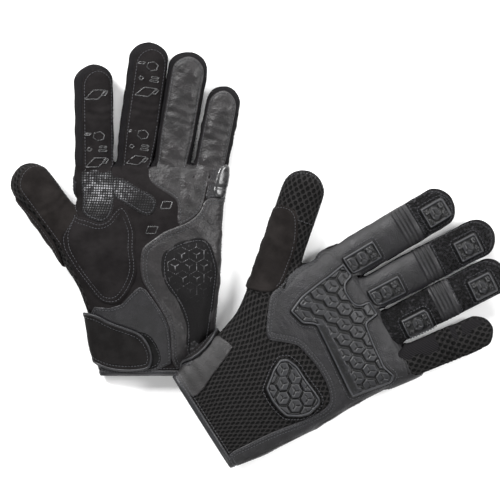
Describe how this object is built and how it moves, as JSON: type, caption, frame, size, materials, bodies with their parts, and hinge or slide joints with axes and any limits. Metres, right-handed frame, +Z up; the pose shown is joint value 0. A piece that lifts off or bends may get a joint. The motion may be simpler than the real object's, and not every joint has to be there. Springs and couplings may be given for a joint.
{
  "type": "riding gloves",
  "caption": "Pair of short armoured motorcycle gloves lying flat, one palm up and one back up, with folding fingers, wrist straps and moulded guards.",
  "frame": {"origin": "centre of the pair on the surface that it lies on", "axes": "+X across the pair from the left glove to the right glove, +Y the way the left glove's fingers point, +Z up"},
  "size_m": [0.3623, 0.3092, 0.0344],
  "materials": {
    "leather": "soft grained goat leather, satin",
    "palm_leather": "smooth creased leather, slightly grey",
    "suede": "matte microfibre suede",
    "thumb_suede": "matte microfibre suede and air mesh",
    "mesh": "3D air mesh with oval holes, matte",
    "rib_knit": "ribbed stretch knit",
    "textile": "coarse abrasion textile",
    "grip_print": "suede with a printed silicone dot grid",
    "silicone": "glossy printed silicone",
    "guard": "moulded TPR, semi-matte",
    "elastic": "ribbed elastic webbing",
    "binding": "smooth bound edge",
    "strap": "suede-faced strap tab with piping",
    "fastener": "hook and loop pile",
    "thread": "blue-black sewing thread",
    "lining": "brushed tricot lining"
  },
  "bodies": {
    "left_hand": {"left_wrist_elastic": "elastic", "left_back_leather": "leather", "left_back_mesh": "mesh", "left_palm_impact_pad": "suede", "left_outer_palm_leather": "palm_leather", "left_thenar_suede": "suede", "left_grip_patch": "grip_print", "left_palm_suede": "suede", "left_cuff_binding": "binding", "left_loop_patch": "fastener", "left_knuckle_guard": "guard", "left_wrist_guard": "guard"},
    "left_strap": {"left_strap": "strap", "left_hook_patch": "fastener"},
    "left_thumb_lower": {"left_thumb_lower": "thumb_suede"},
    "left_thumb_upper": {"left_thumb_upper": "thumb_suede"},
    "left_index_lower": {"left_index_lower": "suede", "left_index_knuckle_arm": "guard"},
    "left_index_upper": {"left_index_upper": "suede", "left_index_tip_guard": "guard"},
    "left_middle_lower": {"left_middle_lower": "suede", "left_middle_knuckle_arm": "guard"},
    "left_middle_upper": {"left_middle_upper": "suede", "left_middle_tip_guard": "guard"},
    "left_ring_lower": {"left_ring_lower": "palm_leather", "left_ring_base_guard": "guard"},
    "left_ring_upper": {"left_ring_upper": "palm_leather", "left_ring_tip_guard": "guard"},
    "left_little_lower": {"left_little_lower": "palm_leather"},
    "left_little_upper": {"left_little_upper": "palm_leather"},
    "right_hand": {"right_wrist_elastic": "elastic", "right_back_leather": "leather", "right_back_mesh": "mesh", "right_palm_impact_pad": "suede", "right_outer_palm_leather": "palm_leather", "right_thenar_suede": "suede", "right_grip_patch": "grip_print", "right_palm_suede": "suede", "right_cuff_binding": "binding", "right_loop_patch": "fastener", "right_knuckle_guard": "guard", "right_wrist_guard": "guard"},
    "right_strap": {"right_strap": "strap", "right_hook_patch": "fastener"},
    "right_thumb_lower": {"right_thumb_lower": "thumb_suede"},
    "right_thumb_upper": {"right_thumb_upper": "thumb_suede"},
    "right_index_lower": {"right_index_lower": "suede", "right_index_knuckle_arm": "guard"},
    "right_index_upper": {"right_index_upper": "suede", "right_index_tip_guard": "guard"},
    "right_middle_lower": {"right_middle_lower": "suede", "right_middle_knuckle_arm": "guard"},
    "right_middle_upper": {"right_middle_upper": "suede", "right_middle_tip_guard": "guard"},
    "right_ring_lower": {"right_ring_lower": "palm_leather", "right_ring_base_guard": "guard"},
    "right_ring_upper": {"right_ring_upper": "palm_leather", "right_ring_tip_guard": "guard"},
    "right_little_lower": {"right_little_lower": "palm_leather"},
    "right_little_upper": {"right_little_upper": "palm_leather"}
  },
  "joints": [
    {"name": "right_lift", "type": "slide", "parent": "left_hand", "child": "right_hand", "axis": [0, 0, 1], "range_m": [0, 0.15]},
    {"name": "left_strap_open", "type": "hinge", "parent": "left_hand", "child": "left_strap", "pos_m": [-0.1171, -0.0625, 0.0094], "axis": [0.1414, -0.9899, 0], "range_deg": [0, 95]},
    {"name": "left_thumb_base", "type": "hinge", "parent": "left_hand", "child": "left_thumb_lower", "pos_m": [-0.1305, 0.0035, 0.014], "axis": [0.8064, 0.5914, 0], "range_deg": [0, 35]},
    {"name": "left_thumb_tip_joint", "type": "hinge", "parent": "left_thumb_lower", "child": "left_thumb_upper", "pos_m": [-0.1525, 0.0335, 0.014], "axis": [0.8064, 0.5914, 0], "range_deg": [0, 60]},
    {"name": "left_index_knuckle", "type": "hinge", "parent": "left_hand", "child": "left_index_lower", "pos_m": [-0.1195, 0.0575, 0.012], "axis": [0.9999, 0.0123, 0], "range_deg": [0, 65]},
    {"name": "left_index_middle_joint", "type": "hinge", "parent": "left_index_lower", "child": "left_index_upper", "pos_m": [-0.12007, 0.10367, 0.012], "axis": [0.9999, 0.0123, 0], "range_deg": [0, 65]},
    {"name": "left_middle_knuckle", "type": "hinge", "parent": "left_hand", "child": "left_middle_lower", "pos_m": [-0.0917, 0.0595, 0.012], "axis": [0.9905, -0.1376, 0], "range_deg": [0, 65]},
    {"name": "left_middle_middle_joint", "type": "hinge", "parent": "left_middle_lower", "child": "left_middle_upper", "pos_m": [-0.08523, 0.10605, 0.012], "axis": [0.9905, -0.1376, 0], "range_deg": [0, 65]},
    {"name": "left_ring_knuckle", "type": "hinge", "parent": "left_hand", "child": "left_ring_lower", "pos_m": [-0.065, 0.0585, 0.012], "axis": [0.9852, -0.1716, 0], "range_deg": [0, 65]},
    {"name": "left_ring_middle_joint", "type": "hinge", "parent": "left_ring_lower", "child": "left_ring_upper", "pos_m": [-0.05725, 0.103, 0.012], "axis": [0.9852, -0.1716, 0], "range_deg": [0, 65]},
    {"name": "left_little_knuckle", "type": "hinge", "parent": "left_hand", "child": "left_little_lower", "pos_m": [-0.0375, 0.0515, 0.012], "axis": [0.9811, -0.1935, 0], "range_deg": [0, 65]},
    {"name": "left_little_middle_joint", "type": "hinge", "parent": "left_little_lower", "child": "left_little_upper", "pos_m": [-0.03022, 0.08842, 0.012], "axis": [0.9811, -0.1935, 0], "range_deg": [0, 65]},
    {"name": "right_strap_open", "type": "hinge", "parent": "right_hand", "child": "right_strap", "pos_m": [-0.04123, -0.07348, 0.018], "axis": [0.7601, 0.6499, 0], "range_deg": [0, 95]},
    {"name": "right_thumb_base", "type": "hinge", "parent": "right_hand", "child": "right_thumb_lower", "pos_m": [0.00762, -0.02542, 0.0098], "axis": [-0.9464, 0.323, 0], "range_deg": [0, 35]},
    {"name": "right_thumb_tip_joint", "type": "hinge", "parent": "right_thumb_lower", "child": "right_thumb_upper", "pos_m": [0.02233, 0.01767, 0.0098], "axis": [-0.9464, 0.323, 0], "range_deg": [0, 60]},
    {"name": "right_index_knuckle", "type": "hinge", "parent": "right_hand", "child": "right_index_lower", "pos_m": [0.06103, -0.00692, 0.0078], "axis": [-0.5083, 0.8612, 0], "range_deg": [0, 65]},
    {"name": "right_index_middle_joint", "type": "hinge", "parent": "right_index_lower", "child": "right_index_upper", "pos_m": [0.1075, 0.02051, 0.0078], "axis": [-0.5083, 0.8612, 0], "range_deg": [0, 65]},
    {"name": "right_middle_knuckle", "type": "hinge", "parent": "right_hand", "child": "right_middle_lower", "pos_m": [0.07826, -0.03034, 0.0078], "axis": [-0.461, 0.8874, 0], "range_deg": [0, 65]},
    {"name": "right_middle_middle_joint", "type": "hinge", "parent": "right_middle_lower", "child": "right_middle_upper", "pos_m": [0.12272, -0.00724, 0.0078], "axis": [-0.461, 0.8874, 0], "range_deg": [0, 65]},
    {"name": "right_ring_knuckle", "type": "hinge", "parent": "right_hand", "child": "right_ring_lower", "pos_m": [0.09268, -0.05494, 0.0078], "axis": [-0.451, 0.8925, 0], "range_deg": [0, 65]},
    {"name": "right_ring_middle_joint", "type": "hinge", "parent": "right_ring_lower", "child": "right_ring_upper", "pos_m": [0.13487, -0.03362, 0.0078], "axis": [-0.451, 0.8925, 0], "range_deg": [0, 65]},
    {"name": "right_little_knuckle", "type": "hinge", "parent": "right_hand", "child": "right_little_lower", "pos_m": [0.10097, -0.08106, 0.0078], "axis": [-0.3816, 0.9243, 0], "range_deg": [0, 65]},
    {"name": "right_little_middle_joint", "type": "hinge", "parent": "right_little_lower", "child": "right_little_upper", "pos_m": [0.13708, -0.06615, 0.0078], "axis": [-0.3816, 0.9243, 0], "range_deg": [0, 65]}
  ],
  "couplings": [
    {"joint": "right_strap_open", "follows": "right_lift", "rad_per_m": 11.05}
  ]
}
